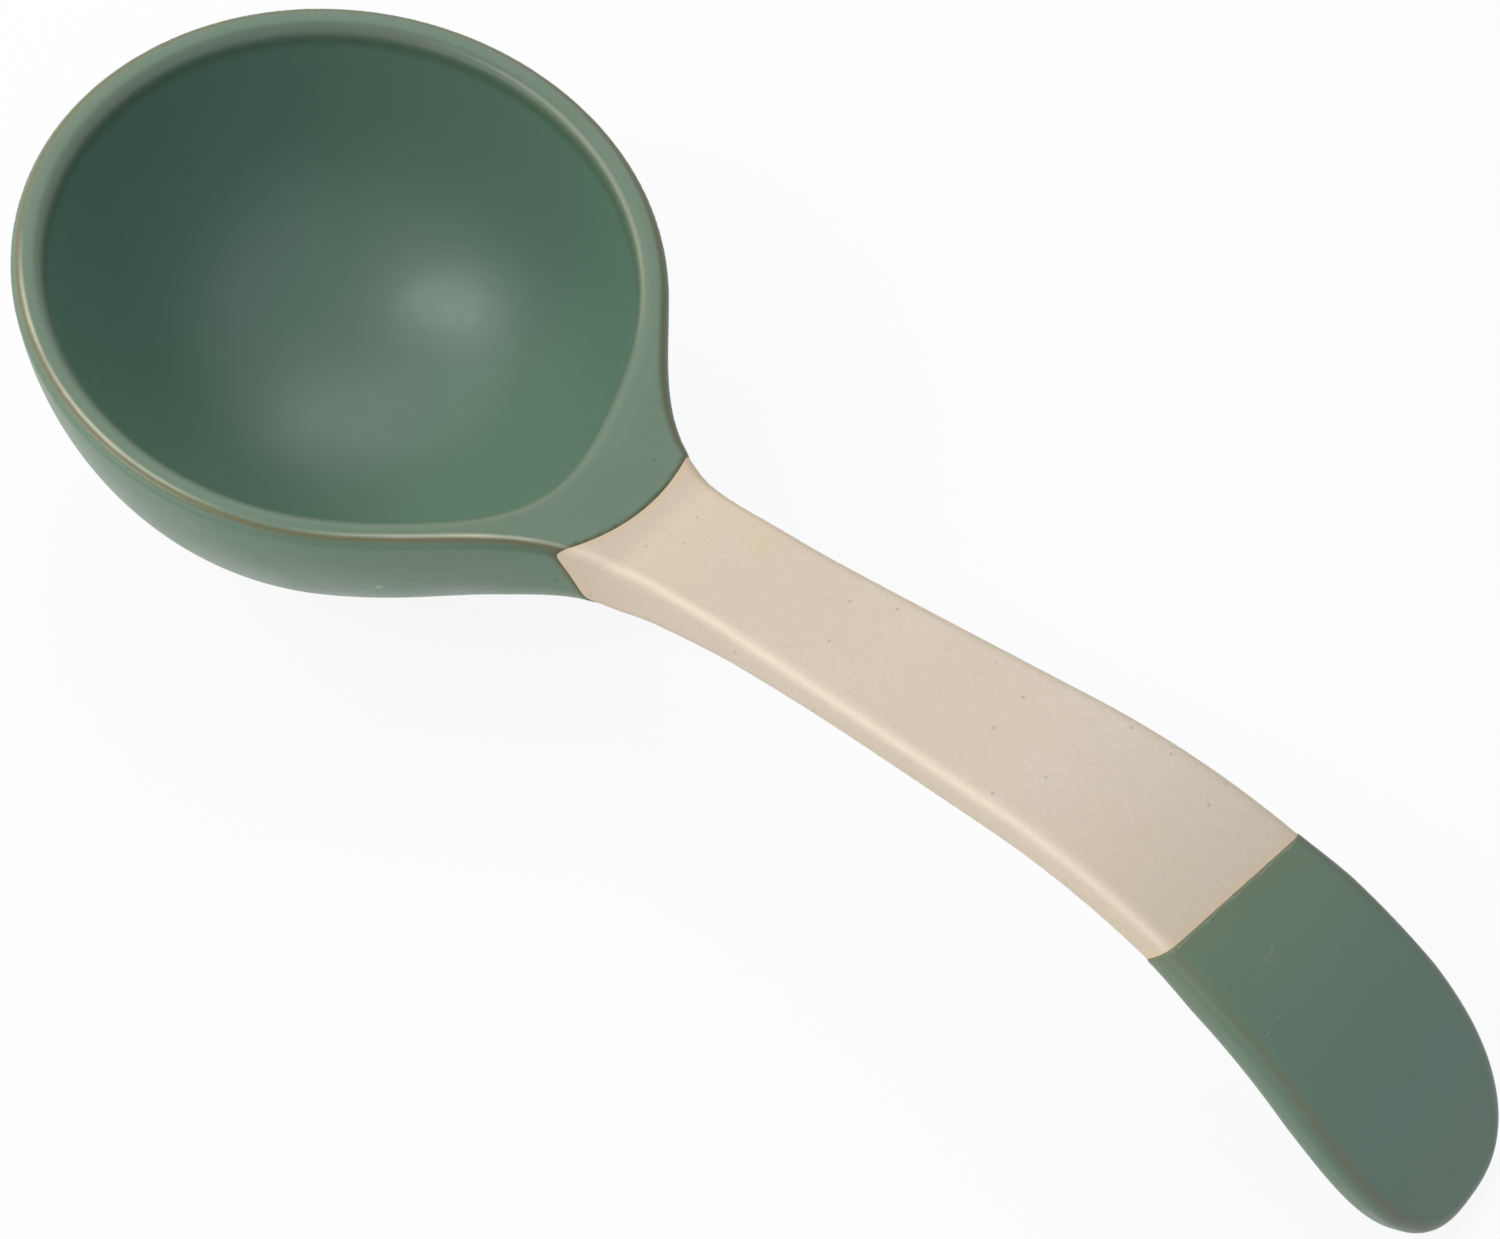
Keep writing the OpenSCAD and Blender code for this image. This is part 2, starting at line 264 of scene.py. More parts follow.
def surface_net():
    """Points and four-sided faces over the whole of the clay's surface."""
    side = BOWL_R + GRID_MARGIN
    low = np.array([-side, -side, -side - WALL_H])
    high = np.array([ARCH_X + ARCH_R, side, ARCH_Z + ARCH_R + GRID_MARGIN])
    count = np.ceil((high - low) / STEP).astype(int) + 1
    axes = [low[a] + STEP * np.arange(count[a]) for a in range(3)]
    value = np.empty(count)
    for i, x in enumerate(axes[0]):
        yy, zz = np.meshgrid(axes[1], axes[2], indexing="ij")
        value[i] = clay(np.stack([np.full_like(yy, x), yy, zz], -1))
    inside = value < 0
    filled = np.zeros(count - 1, int)
    for dx in (0, 1):
        for dy in (0, 1):
            for dz in (0, 1):
                filled += inside[dx : count[0] - 1 + dx, dy : count[1] - 1 + dy, dz : count[2] - 1 + dz]
    crossed = (filled > 0) & (filled < 8)
    cell = np.argwhere(crossed)
    number = np.full(crossed.shape, -1)
    number[crossed] = np.arange(len(cell))
    points = low + STEP * (cell + 0.5)
    faces = []
    for a in range(3):
        b, c = (a + 1) % 3, (a + 2) % 3
        lo = [slice(None)] * 3
        hi = [slice(None)] * 3
        lo[a] = slice(0, -1)
        hi[a] = slice(1, None)
        start, end = inside[tuple(lo)], inside[tuple(hi)]
        edge = np.argwhere(start != end)
        out = start[tuple(edge.T)]
        quad = []
        for db, dc in ((1, 1), (0, 1), (0, 0), (1, 0)):
            corner = edge.copy()
            corner[:, b] -= db
            corner[:, c] -= dc
            quad.append(number[tuple(corner.T)])
        quad = np.stack(quad, 1)
        quad[~out] = quad[~out][:, ::-1]
        faces.append(quad)
    return points, np.concatenate(faces)


def evened(points, faces, rounds=6):
    """Spreads the points evenly along the surface, so that no pattern of the grid shows."""
    ends = np.concatenate([faces[:, [k, (k + 1) % 4]] for k in range(4)])
    links = np.bincount(ends.ravel(), minlength=len(points))
    points = onto_surface(points)
    for _ in range(rounds):
        mean = np.stack(
            [
                np.bincount(ends[:, 0], points[ends[:, 1], a], len(points))
                + np.bincount(ends[:, 1], points[ends[:, 0], a], len(points))
                for a in range(3)
            ],
            1,
        )
        points = onto_surface(mean / links[:, None], 2)
    return points


def clipped(points, faces, keep):
    """The part of a mesh where keep is above zero, cut cleanly along the line where it is zero."""
    points = list(points)
    cuts = {}

    def cut(i, j):
        key = (min(i, j), max(i, j))
        if key not in cuts:
            t = keep[i] / (keep[i] - keep[j])
            cuts[key] = len(points)
            points.append(points[i] + (points[j] - points[i]) * t)
        return cuts[key]

    kept = []
    for face in faces:
        n = len(face)
        if all(keep[v] > 0 for v in face):
            kept.append(tuple(face))
            continue
        ring = []
        for k in range(n):
            i, j = face[k], face[(k + 1) % n]
            if keep[i] > 0:
                ring.append(i)
            if (keep[i] > 0) != (keep[j] > 0):
                ring.append(cut(i, j))
        if len(ring) > 2:
            kept.append(tuple(ring))
    used = np.unique(np.concatenate([np.array(f) for f in kept]))
    fresh = np.full(len(points), -1)
    fresh[used] = np.arange(len(used))
    return np.array(points)[used], [tuple(int(fresh[v]) for v in f) for f in kept]


def open_edges(faces):
    """Edges that only one face uses, in that face's direction."""
    edges = {}
    for f in faces:
        for k in range(len(f)):
            edges[(f[k], f[(k + 1) % len(f)])] = True
    return [e for e in edges if (e[1], e[0]) not in edges]


def skinned(faces, count):
    """A closed skin: an outer sheet, its copy turned round as the inside, and the edges between."""
    inner = [tuple(v + count for v in reversed(f)) for f in faces]
    rims = [(j, i, i + count, j + count) for i, j in open_edges(faces)]
    return faces + inner + rims


def neck_line(p):
    """Distance past the neck's glaze line, on the glazed side."""
    x, y, z = p.T
    bowed = NECK_LINE_X + NECK_LINE_LEAN * y - NECK_LINE_BOW * y**2
    return bowed - NECK_LINE_FALL * np.minimum(z, 0) - x


def tip_line(p):
    """Distance past the glaze line of the handle's end, on the glazed side."""
    s, depth = along_handle(p[:, 0], p[:, 2])
    return s - TIP_LINE - TIP_LEAN * p[:, 1] + TIP_FALL * np.clip(depth, 0, THICK)


def foot_ring(p):
    """Distance outside the wiped ring of the foot, on the outer face of the bowl only."""
    from_centre = ((p + np.array([0, 0, WALL_H])) ** 2).sum(1)
    depth = under_foot(p) + BOWL_R - FOOT_CUT
    away = np.sqrt(np.maximum(from_centre - depth**2, 0))
    low = (depth > BOWL_R / 2) & (from_centre > (BOWL_R - WALL_T / 2) ** 2)
    return np.where(low, away - FOOT_BARE_R, FAR)


def bowl_line(p):
    """Distance past the edge of the bowl's dip, at the neck or at the foot, on the glazed side."""
    return np.minimum(neck_line(p), foot_ring(p))


def add_piece(name, points, faces, normals, values, material):
    """A mesh object on the table from points in the level frame, with named values on its points."""
    mesh = bpy.data.meshes.new(name)
    table = np.array(LEVEL_TO_TABLE)
    placed = points @ table[:3, :3].T + table[:3, 3]
    mesh.from_pydata(placed.tolist(), [], faces)
    mesh.update()
    for label, value in values.items():
        mesh.attributes.new(label, "FLOAT", "POINT").data.foreach_set("value", value.astype(np.float32))
    mesh.shade_smooth()
    turned = normals @ (table[:3, :3].T / MM)
    mesh.normals_split_custom_set_from_vertices(turned.tolist())
    mesh.materials.append(material)
    piece = bpy.data.objects.new(name, mesh)
    bpy.context.scene.collection.objects.link(piece)
    return piece


def unit(v):
    """The same directions with length 1."""
    return v / np.maximum(np.linalg.norm(v, axis=1), TINY)[:, None]


def marks(points, past):
    """Values that the materials read: distance past the glaze line, and place round each edge."""
    outer, inner = edge_places(points)
    return {"past": past, "outer_edge": outer, "inner_edge": inner}


def glaze_piece(name, points, faces, line, finish):
    """A dip of glaze over the clay that runs out thin to its edge and ends in a small round step."""
    points, faces = clipped(points, faces, line(points))
    normal = unit(slope(clay, points))
    past = np.maximum(line(points), 0)
    left = 1 - np.clip(past / GLAZE_EDGE, 0, 1)
    run = np.clip(past / GLAZE_RUN, 0, 1)
    more = GLAZE_T - GLAZE_EDGE_T
    thick = GLAZE_EDGE_T * np.sqrt(1 - left**2) + more * run**2 * (3 - 2 * run)
    steep = GLAZE_EDGE_T / GLAZE_EDGE * left / np.sqrt(np.maximum(1 - left**2, LEAST_FLAT))
    steep = steep + more / GLAZE_RUN * 6 * run * (1 - run)
    inward = slope(line, points)
    inward = inward - normal * (inward * normal).sum(1)[:, None]
    values = {label: np.tile(value, 2) for label, value in marks(points, past).items()}
    return add_piece(
        name,
        np.concatenate([points + normal * thick[:, None], points - normal * SUNK]),
        skinned(faces, len(points)),
        np.concatenate([unit(normal - inward * steep[:, None]), -normal]),
        values,
        finish,
    )


def clay_piece(name, points, faces, side, finish):
    """The clay on one side of the cut through the neck, under the glaze, closed at that cut."""
    points, faces = clipped(points, faces, side * (points[:, 0] - ROOT_CUT_X))
    edges = open_edges(faces)
    middle = len(points)
    rim = np.unique(np.array(edges))
    points = np.concatenate([points, points[rim].mean(0, keepdims=True)])
    faces = faces + [(j, i, middle) for i, j in edges]
    normal = unit(slope(clay, points))
    normal[middle] = (-side, 0, 0)
    past = -np.maximum(bowl_line(points), tip_line(points))
    return add_piece(name, points, faces, normal, marks(points, past), finish)


def material(name, build):
    """A new node material that build fills in from its node tree and shader."""
    made = bpy.data.materials.new(name)
    made.use_nodes = True
    tree = made.node_tree
    build(tree, tree.nodes["Principled BSDF"])
    return made


def srgb(r, g, b):
    """Colour of 0 to 255 screen values as the shader wants it."""
    def line(c):
        c = c / 255
        return c / 12.92 if c <= 0.04045 else ((c + 0.055) / 1.055) ** 2.4
    return (line(r), line(g), line(b), 1)


# Colours of the glaze, of the places where it is thin or worn, and of its spots, with painted light: a
# lighter, bluer hollow, and highlights and shade on edges
GREEN = srgb(90, 115, 92)
GREEN_LIGHT = srgb(96, 119, 94)
GREEN_CLOUD = srgb(88, 117, 91)
GREEN_FINE = srgb(108, 128, 105)
GLAZE_PIT = srgb(52, 66, 54)
GLAZE_SPECK = srgb(176, 182, 160)
GLAZE_RUN_OUT = srgb(98, 92, 56)
LIP_GREEN = srgb(77, 98, 76)
LIP_PALE_AND_HIGHLIGHT = srgb(208, 202, 174)
LIP_OLIVE = srgb(104, 92, 52)
LIP_EDGE_SHADE = srgb(58, 62, 42)
HOLLOW_PAINTED_LIGHT_GREEN = srgb(98, 129, 110)
INNER_EDGE_GREY = srgb(128, 118, 104)
INNER_EDGE_HIGHLIGHT = srgb(180, 172, 152)
TIP_OLIVE = srgb(104, 116, 88)
TIP_TOP_SHADE = srgb(76, 98, 79)
TIP_WORN = srgb(90, 94, 62)
TIP_WORN_END = srgb(110, 96, 76)
TIP_FAR_EDGE_SHADE = srgb(46, 56, 44)
TIP_SCUFF = srgb(150, 162, 146)

# Colours of the bare clay, with a painted highlight for its crease and painted shade for its far edge
CLAY = srgb(211, 195, 174)
CLAY_LIGHT = srgb(216, 201, 181)
CLAY_GRAIN = srgb(194, 179, 159)
CLAY_SPOT = srgb(150, 138, 122)
CLAY_STAIN = srgb(216, 194, 152)
CLAY_WARM = srgb(217, 198, 166)
CLAY_CREASE_HIGHLIGHT = srgb(236, 219, 195)
CLAY_FAR_EDGE_SHADE = srgb(176, 148, 116)
CLAY_FLUSH = srgb(222, 192, 152)

# Patterns, by how many go to the metre
BROAD_SCALE = 24.0
CLOUD_SCALE = 120.0
FINE_SCALE = 1400.0
SWELL_SCALE = 500.0
PIT_SCALE = 260.0
SPECK_SCALE = 190.0
PATCH_SCALE = 90.0
SCUFF_SCALE = 900.0
CLAY_BROAD_SCALE = 40.0
GRAIN_SCALE = 1800.0
SPOT_SCALE = 560.0
STAIN_SCALE = 75.0

# Gloss
GLAZE_ROUGH_LOW = 0.34
GLAZE_ROUGH_HIGH = 0.42
CLAY_ROUGH = 0.85
CLAY_SPECULAR = 0.3

# Level directions from the middle of the bowl
BOWL_LEFT = (-0.9, 0.4, 0)
BOWL_FAR = (0.45, 0.9, 0)
BOWL_NEAR = (0.26, -0.97, 0)
BOWL_RIGHT = (0.8, 0.6, 0)
TO_HANDLE = (1, 0, 0)
FAR_SIDE = (0, 1, 0)

# Place round the inner edge that the whole of the hollow has, in millimetres
HOLLOW_PLACE = LIP_IN_R - WALL_T
# Length of the glazed end in millimetres, and the reach of the warm tint beside the glaze lines
GLAZED_END = 45.0
WARM_REACH = 25.0

# Sockets of the mix node for colours
MIX_SHARE = 0
MIX_A = 6
MIX_B = 7
MIX_RESULT = 2


def node(tree, kind, inputs=(), **settings):
    """Adds a node; inputs are pairs of socket and value or output to link."""
    made = tree.nodes.new(kind)
    for key, value in settings.items():
        setattr(made, key, value)
    for socket, value in inputs:
        if isinstance(value, bpy.types.NodeSocket):
            tree.links.new(value, made.inputs[socket])
        else:
            made.inputs[socket].default_value = value
    return made


def noise(tree, where, scale, detail=3.0, rough=0.5):
    """Cloudy values about 0.5."""
    inputs = [("Vector", where), ("Scale", scale), ("Detail", detail), ("Roughness", rough)]
    return node(tree, "ShaderNodeTexNoise", inputs).outputs["Fac"]


def spread(tree, value, low, high, to_low=0.0, to_high=1.0):
    """A value between low and high stretched to a new range and held at its ends."""
    inputs = [("Value", value), ("From Min", low), ("From Max", high)]
    inputs += [("To Min", to_low), ("To Max", to_high)]
    return node(tree, "ShaderNodeMapRange", inputs).outputs["Result"]


def mix(tree, share, a, b):
    """Colour a, turned into colour b by a share of 0 to 1."""
    inputs = [(MIX_SHARE, share), (MIX_A, a), (MIX_B, b)]
    return node(tree, "ShaderNodeMix", inputs, data_type="RGBA").outputs[MIX_RESULT]


def times(tree, value, *factors):
    """A value times one or more factors."""
    for factor in factors:
        value = node(tree, "ShaderNodeMath", [(0, value), (1, factor)], operation="MULTIPLY").outputs[0]
    return value


def plus(tree, a, b):
    """Sum of two values."""
    return node(tree, "ShaderNodeMath", [(0, a), (1, b)], operation="ADD").outputs[0]


def point_value(tree, label):
    """A value that the mesh holds on its points."""
    return node(tree, "ShaderNodeAttribute", attribute_name=label).outputs["Fac"]


def specks(tree, where, scale, size, channel, low, high):
    """Small round spots in those cells of a pattern whose random colour channel is above low to high."""
    cells = node(tree, "ShaderNodeTexVoronoi", [("Vector", where), ("Scale", scale)])
    near = spread(tree, cells.outputs["Distance"], size * 0.6, size, 1.0, 0.0)
    pick = node(tree, "ShaderNodeSeparateColor", [("Color", cells.outputs["Color"])])
    return times(tree, near, spread(tree, pick.outputs[channel], low, high))


def band(tree, value, centre, half):
    """A soft line where a value is close to centre, fading out at half to each side."""
    away = node(tree, "ShaderNodeMath", [(0, value), (1, centre)], operation="SUBTRACT").outputs[0]
    size = node(tree, "ShaderNodeMath", [(0, away)], operation="ABSOLUTE").outputs[0]
    return spread(tree, size, 0.0, half, 1.0, 0.0)


def towards(tree, where, direction):
    """Metres from the middle of the foot along a level direction."""
    made = node(tree, "ShaderNodeVectorMath", [(0, where), (1, direction)], operation="DOT_PRODUCT")
    return made.outputs["Value"]


def glaze_colour(tree, where):
    """Cloudy green with fine mottling, a few dark pits and pale specks, browner where it runs out."""
    broad = spread(tree, noise(tree, where, BROAD_SCALE, 2.0), 0.35, 0.65)
    cloud = spread(tree, noise(tree, where, CLOUD_SCALE, 4.0, 0.6), 0.3, 0.7)
    fine = spread(tree, noise(tree, where, FINE_SCALE, 3.0, 0.6), 0.4, 0.75)
    pits = specks(tree, where, PIT_SCALE, 0.11, "Red", 0.91, 0.93)
    pale = specks(tree, where, SPECK_SCALE, 0.1, "Green", 0.92, 0.94)
    run = spread(tree, point_value(tree, "past"), 0.1, 0.8, 1.0, 0.0)
    colour = mix(tree, broad, GREEN, GREEN_LIGHT)
    colour = mix(tree, times(tree, cloud, 0.35), colour, GREEN_CLOUD)
    colour = mix(tree, times(tree, fine, 0.2), colour, GREEN_FINE)
    colour = mix(tree, times(tree, pits, 0.4), colour, GLAZE_PIT)
    colour = mix(tree, times(tree, pale, 0.5), colour, GLAZE_SPECK)
    return mix(tree, times(tree, run, 0.85), colour, GLAZE_RUN_OUT)


def glaze_surface(tree, shader, where):
    """Satin gloss with a faint swell, as of a glaze that flowed."""
    cloud = noise(tree, where, CLOUD_SCALE, 4.0, 0.6)
    rough = spread(tree, cloud, 0.3, 0.7, GLAZE_ROUGH_LOW, GLAZE_ROUGH_HIGH)
    tree.links.new(rough, shader.inputs["Roughness"])
    swell = times(tree, noise(tree, where, SWELL_SCALE, 2.0), 0.7)
    height = plus(tree, swell, times(tree, noise(tree, where, FINE_SCALE), 0.3))
    bump = node(tree, "ShaderNodeBump", [("Height", height), ("Strength", 0.1), ("Distance", 0.0004)])
    tree.links.new(bump.outputs["Normal"], shader.inputs["Normal"])


def build_bowl_glaze(tree, shader):
    """The bowl's dip: darker on the lip, painted lighter and bluer in the hollow as painted light, thin
    over the lip's edges, with painted highlights and shade on them.
    """
    where = node(tree, "ShaderNodeTexCoord").outputs["Object"]
    outer = point_value(tree, "outer_edge")
    inner = point_value(tree, "inner_edge")
    colour = glaze_colour(tree, where)
    colour = mix(tree, spread(tree, outer, 0.8, 2.0, 0.0, 0.35), colour, LIP_GREEN)
    # Painted light: the hollow is painted lighter and bluer, standing in for light that the lamps don't
    # bring inside
    colour = mix(tree, spread(tree, inner, HOLLOW_PLACE, -0.5, 0.85, 0.0), colour, HOLLOW_PAINTED_LIGHT_GREEN)

    # The inner edge is soft and greyish on the left and has a thin painted highlight on the far side
    left = spread(tree, towards(tree, where, BOWL_LEFT), 0.0, 0.03, 0.3, 1.0)
    grey = times(tree, band(tree, inner, 0.9, 1.3), left, 0.24)
    colour = mix(tree, grey, colour, INNER_EDGE_GREY)
    # Painted highlight: a thin pale line on the inner edge of the far side
    far = spread(tree, towards(tree, where, BOWL_FAR), 0.03, 0.038)
    thin = times(tree, band(tree, inner, 1.2, 0.4), far, 0.35)
    colour = mix(tree, thin, colour, INNER_EDGE_HIGHLIGHT)

    # The outer edge is olive all round, with a broken pale line on the near side, partly thin glaze and
    # partly a painted highlight, and painted shade at the right end
    near = spread(tree, towards(tree, where, BOWL_NEAR), 0.017, 0.026)
    gap = spread(tree, band(tree, towards(tree, where, TO_HANDLE), 0.018, 0.02), 0.1, 0.8, 1.0, 0.15)
    uneven = spread(tree, noise(tree, where, PATCH_SCALE, 2.0), 0.35, 0.6, 0.5, 1.0)
    # Partly glaze thinned over the edge, partly a painted highlight where the edge faces the light
    pale = times(tree, near, gap, uneven, band(tree, outer, 1.4, 0.34), 0.9)
    colour = mix(tree, pale, colour, LIP_PALE_AND_HIGHLIGHT)
    colour = mix(tree, times(tree, band(tree, outer, 1.05, 0.36), 0.85), colour, LIP_OLIVE)
    # Painted shade: the outer edge's rounding is darkened at the right end, where it turns away
    right = spread(tree, towards(tree, where, BOWL_RIGHT), 0.015, 0.03)
    dark = times(tree, band(tree, outer, 0.7, 0.9), right, 0.5)
    colour = mix(tree, dark, colour, LIP_EDGE_SHADE)
    tree.links.new(colour, shader.inputs["Base Color"])
    glaze_surface(tree, shader, where)


def build_tip_glaze(tree, shader):
    """The dip over the handle's end, worn brownish along its edge, with painted shade over its top and
    along its far edge.
    """
    where = node(tree, "ShaderNodeTexCoord").outputs["Object"]
    outer = point_value(tree, "outer_edge")
    along = spread(tree, point_value(tree, "past"), 0.0, GLAZED_END)
    colour = glaze_colour(tree, where)
    colour = mix(tree, spread(tree, along, 0.0, 0.5, 0.5, 0.0), colour, TIP_OLIVE)
    # Painted shade: the top of the end is darkened towards its end, where it tilts away from the light
    top = spread(tree, outer, -1.0, 1.0, 0.3, 1.0)
    top_shade = times(tree, spread(tree, along, 0.0, 1.0, 0.3, 0.6), top)
    colour = mix(tree, top_shade, colour, TIP_TOP_SHADE)
    worn = times(tree, band(tree, outer, 1.7, 0.9), spread(tree, along, 0.1, 0.9, 0.35, 0.55))
    colour = mix(tree, worn, colour, mix(tree, along, TIP_WORN, TIP_WORN_END))
    # Painted shade along the far edge of the glazed end
    far = spread(tree, towards(tree, where, FAR_SIDE), 0.004, 0.009)
    far_edge_shade = times(tree, band(tree, outer, 1.4, 1.5), far, 0.9)
    colour = mix(tree, far_edge_shade, colour, TIP_FAR_EDGE_SHADE)
    streaks = node(tree, "ShaderNodeMapping", [("Vector", where), ("Scale", (1.0, 0.25, 1.0))])
    scuff = spread(tree, noise(tree, streaks.outputs["Vector"], SCUFF_SCALE, 2.0), 0.68, 0.74)
    patch = spread(tree, noise(tree, where, PATCH_SCALE, 1.0), 0.56, 0.68)
    colour = mix(tree, times(tree, scuff, patch, 0.35), colour, TIP_SCUFF)
    tree.links.new(colour, shader.inputs["Base Color"])
    glaze_surface(tree, shader, where)


def build_clay(tree, shader):
    """Sandy bare stoneware with fine grain, grey specks and a warm flush next to the glaze, a painted
    highlight along the crease and painted shade along the far edge.
    """
    where = node(tree, "ShaderNodeTexCoord").outputs["Object"]
    outer = point_value(tree, "outer_edge")
    past = point_value(tree, "past")
    broad = spread(tree, noise(tree, where, CLAY_BROAD_SCALE, 3.0), 0.3, 0.7)
    grain = noise(tree, where, GRAIN_SCALE, 4.0, 0.7)
    spots = specks(tree, where, SPOT_SCALE, 0.16, "Red", 0.74, 0.9)
    stain = spread(tree, noise(tree, where, STAIN_SCALE, 2.0), 0.6, 0.75)
    colour = mix(tree, broad, CLAY, CLAY_LIGHT)
    colour = mix(tree, times(tree, spread(tree, grain, 0.35, 0.7), 0.4), colour, CLAY_GRAIN)
    colour = mix(tree, times(tree, spots, 0.45), colour, CLAY_SPOT)
    colour = mix(tree, times(tree, stain, 0.35), colour, CLAY_STAIN)
    colour = mix(tree, spread(tree, past, 0.0, WARM_REACH, 0.35, 0.0), colour, CLAY_WARM)
    # Painted highlight: a lighter cream band along the crease of the top edge
    colour = mix(tree, times(tree, band(tree, outer, 1.6, 0.9), 0.7), colour, CLAY_CREASE_HIGHLIGHT)
    # Painted shade along the far edge of the clay
    far = spread(tree, towards(tree, where, FAR_SIDE), 0.004, 0.008)
    far_edge_shade = times(tree, band(tree, outer, 1.4, 1.2), far, 0.45)
    colour = mix(tree, far_edge_shade, colour, CLAY_FAR_EDGE_SHADE)
    flush = spread(tree, past, 0.0, 1.2, 1.0, 0.0)
    colour = mix(tree, times(tree, flush, 0.55), colour, CLAY_FLUSH)
    tree.links.new(colour, shader.inputs["Base Color"])
    shader.inputs["Roughness"].default_value = CLAY_ROUGH
    shader.inputs["Specular IOR Level"].default_value = CLAY_SPECULAR
    bump = node(tree, "ShaderNodeBump", [("Height", grain), ("Strength", 0.25), ("Distance", 0.0003)])
    tree.links.new(bump.outputs["Normal"], shader.inputs["Normal"])


def dress_ladle():
    """The clay of bowl and handle, the two dips of glaze over it, and the slip in the joint."""
    clay_finish = material("bare_clay", build_clay)
    bowl_finish = material("bowl_glaze", build_bowl_glaze)
    tip_finish = material("tip_glaze", build_tip_glaze)
    points, faces = surface_net()
    points = evened(points, faces)
    bowl_dip = glaze_piece("bowl_glaze_dip", points, faces, bowl_line, bowl_finish)
    tip_dip = glaze_piece("tip_glaze_dip", points, faces, tip_line, tip_finish)
    bowl = clay_piece("bowl_clay", points, faces, -1, clay_finish)
    handle = clay_piece("handle_clay", points, faces, 1, clay_finish)
    for piece, slot, nodes in (
        (bowl_dip, "glaze", ("bowl_glaze", "neck_glaze")),
        (tip_dip, "glaze", ("tip_glaze",)),
        (bowl, "clay", ("bowl",)),
        (handle, "clay", ("handle",)),
    ):
        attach(piece, "root")
        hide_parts(*nodes)
    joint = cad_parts["slip_joint"].data
    joint.materials.clear()
    joint.materials.append(clay_finish)


# Camera, from the photograph's viewing angle: place, the point it looks at, roll, lens and film
CAMERA_AT = Vector((0.19813, -0.17366, 0.31923))
CAMERA_AIM = Vector((0.07018, -0.00454, 0.030))
CAMERA_ROLL = math.radians(2.503)
CAMERA_LENS = 71.46
CAMERA_FILM = 36
CAMERA_NEAREST = 0.01

# Lamps: name, place, width and height in metres, power, colour and roll
WARM_WHITE = (1.0, 0.985, 0.93)
LAMPS = (
    ("key", (-0.3, 0.4, 0.9), (1.0, 1.0), 5.0, WARM_WHITE, 0.0),
    ("left", (-0.75, -0.2, 0.5), (0.7, 0.7), 2.6, WARM_WHITE, 0.0),
    ("front", (-0.15, -0.49, 0.64), (0.5, 0.14), 2.4, (1.0, 1.0, 1.0), math.radians(36)),
    ("low_front", (-0.16, -0.95, 0.16), (1.4, 0.28), 2.6, (1.0, 0.99, 0.97), 0.0),
    ("far_end", (0.9, 0.1, 0.35), (1.1, 1.1), 1.2, (0.65, 0.85, 1.4), 0.0),
)
LAMP_AIM = Vector((0.03, 0, 0.03))

# Surround and floor, with the share of the floor's look that is plain white
WHITE = (1, 1, 1, 1)
WORLD_COLOUR = (0.9, 0.98, 1.15, 1)
WORLD_LIGHT = 0.3
FLOOR_COLOUR = (0.85, 0.85, 0.85, 1)
FLOOR_ROUGH = 0.9
FLOOR_HALF = 3.0
FLOOR_WHITE = 0.9


def add_camera():
    """The camera of the photograph."""
    data = bpy.data.cameras.new("camera")
    data.lens = CAMERA_LENS
    data.sensor_width = CAMERA_FILM
    data.clip_start = CAMERA_NEAREST
    camera = bpy.data.objects.new("camera", data)
    look = (CAMERA_AIM - CAMERA_AT).to_track_quat("-Z", "Y").to_matrix().to_4x4()
    camera.matrix_world = Matrix.Translation(CAMERA_AT) @ look @ Matrix.Rotation(CAMERA_ROLL, 4, "Z")
    bpy.context.scene.collection.objects.link(camera)
    bpy.context.scene.camera = camera


def add_lamp(name, at, size, power, colour, roll):
    """A soft lamp that looks at the ladle."""
    data = bpy.data.lights.new(name, "AREA")
    data.shape = "RECTANGLE"
    data.size, data.size_y = size
    data.energy = power
    data.color = colour
    lamp = bpy.data.objects.new(name, data)
    look = (LAMP_AIM - Vector(at)).to_track_quat("-Z", "Y").to_matrix().to_4x4()
    lamp.matrix_world = Matrix.Translation(at) @ look @ Matrix.Rotation(roll, 4, "Z")
    bpy.context.scene.collection.objects.link(lamp)


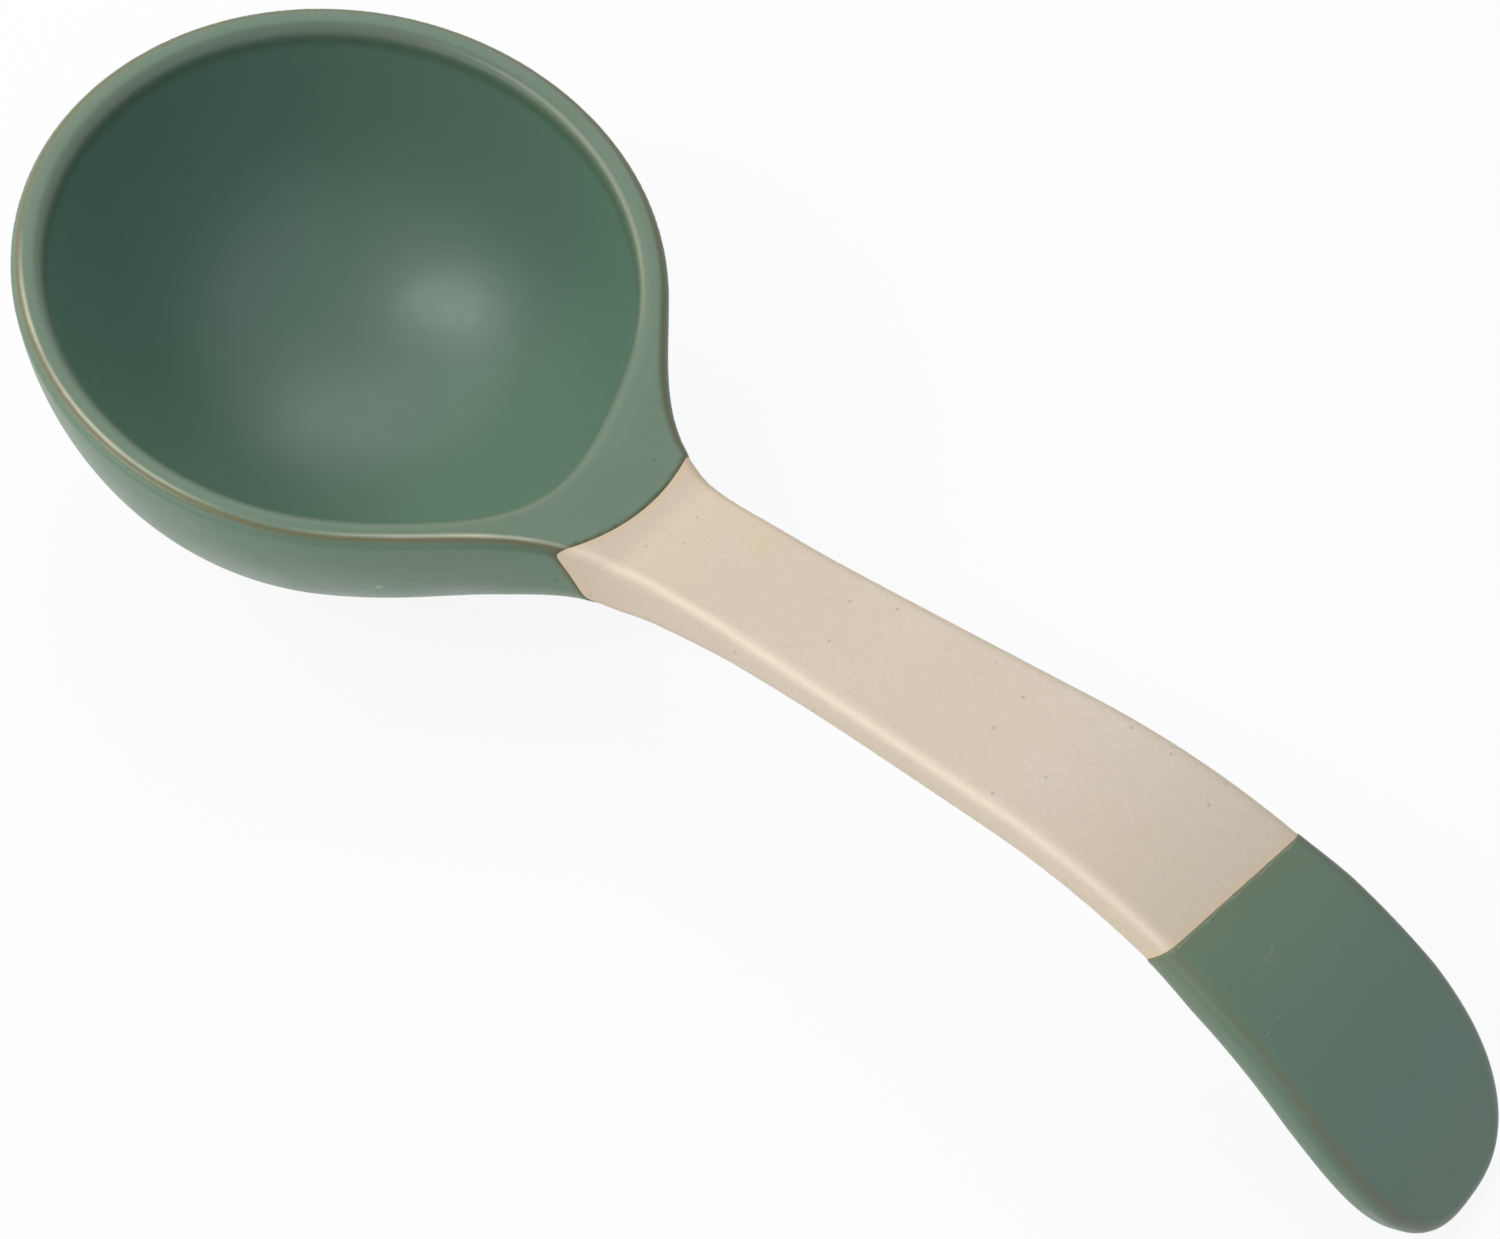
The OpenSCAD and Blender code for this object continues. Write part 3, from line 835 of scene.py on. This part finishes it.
def seen_directly(tree):
    """1 for rays from the camera, or by way of a gloss or glass, and 0 for the rest."""
    path = node(tree, "ShaderNodeLightPath").outputs
    seen = plus(tree, path["Is Camera Ray"], path["Is Glossy Ray"])
    seen = plus(tree, seen, path["Is Transmission Ray"])
    return node(tree, "ShaderNodeMath", [(0, seen), (1, 1.0)], operation="MINIMUM").outputs[0]


def build_floor(tree, shader):
    """Pale floor that shows nearly white and keeps a light shadow."""
    shader.inputs["Base Color"].default_value = FLOOR_COLOUR
    shader.inputs["Roughness"].default_value = FLOOR_ROUGH
    white = node(tree, "ShaderNodeEmission", [("Color", WHITE), ("Strength", 1.0)])
    share = times(tree, seen_directly(tree), FLOOR_WHITE)
    inputs = [(0, share), (1, shader.outputs["BSDF"]), (2, white.outputs["Emission"])]
    both = node(tree, "ShaderNodeMixShader", inputs)
    tree.links.new(both.outputs[0], tree.nodes["Material Output"].inputs["Surface"])


def add_floor():
    """A level square floor at table height."""
    mesh = bpy.data.meshes.new("floor")
    corners = [(-FLOOR_HALF, -FLOOR_HALF, 0), (FLOOR_HALF, -FLOOR_HALF, 0)]
    corners += [(FLOOR_HALF, FLOOR_HALF, 0), (-FLOOR_HALF, FLOOR_HALF, 0)]
    mesh.from_pydata(corners, [], [(0, 1, 2, 3)])
    mesh.materials.append(material("white_floor", build_floor))
    floor = bpy.data.objects.new("floor", mesh)
    bpy.context.scene.collection.objects.link(floor)


def add_studio():
    """The floor, a pale surround that shows white, and lamps: the key is high behind on the left."""
    add_floor()
    world = bpy.data.worlds.new("studio")
    world.use_nodes = True
    tree = world.node_tree
    back = tree.nodes["Background"]
    seen = seen_directly(tree)
    tree.links.new(mix(tree, seen, WORLD_COLOUR, WHITE), back.inputs["Color"])
    tree.links.new(spread(tree, seen, 0.0, 1.0, WORLD_LIGHT, 1.0), back.inputs["Strength"])
    bpy.context.scene.world = world
    for lamp in LAMPS:
        add_lamp(*lamp)


dress_ladle()
add_camera()
add_studio()
bpy.context.scene.view_settings.view_transform = "Standard"
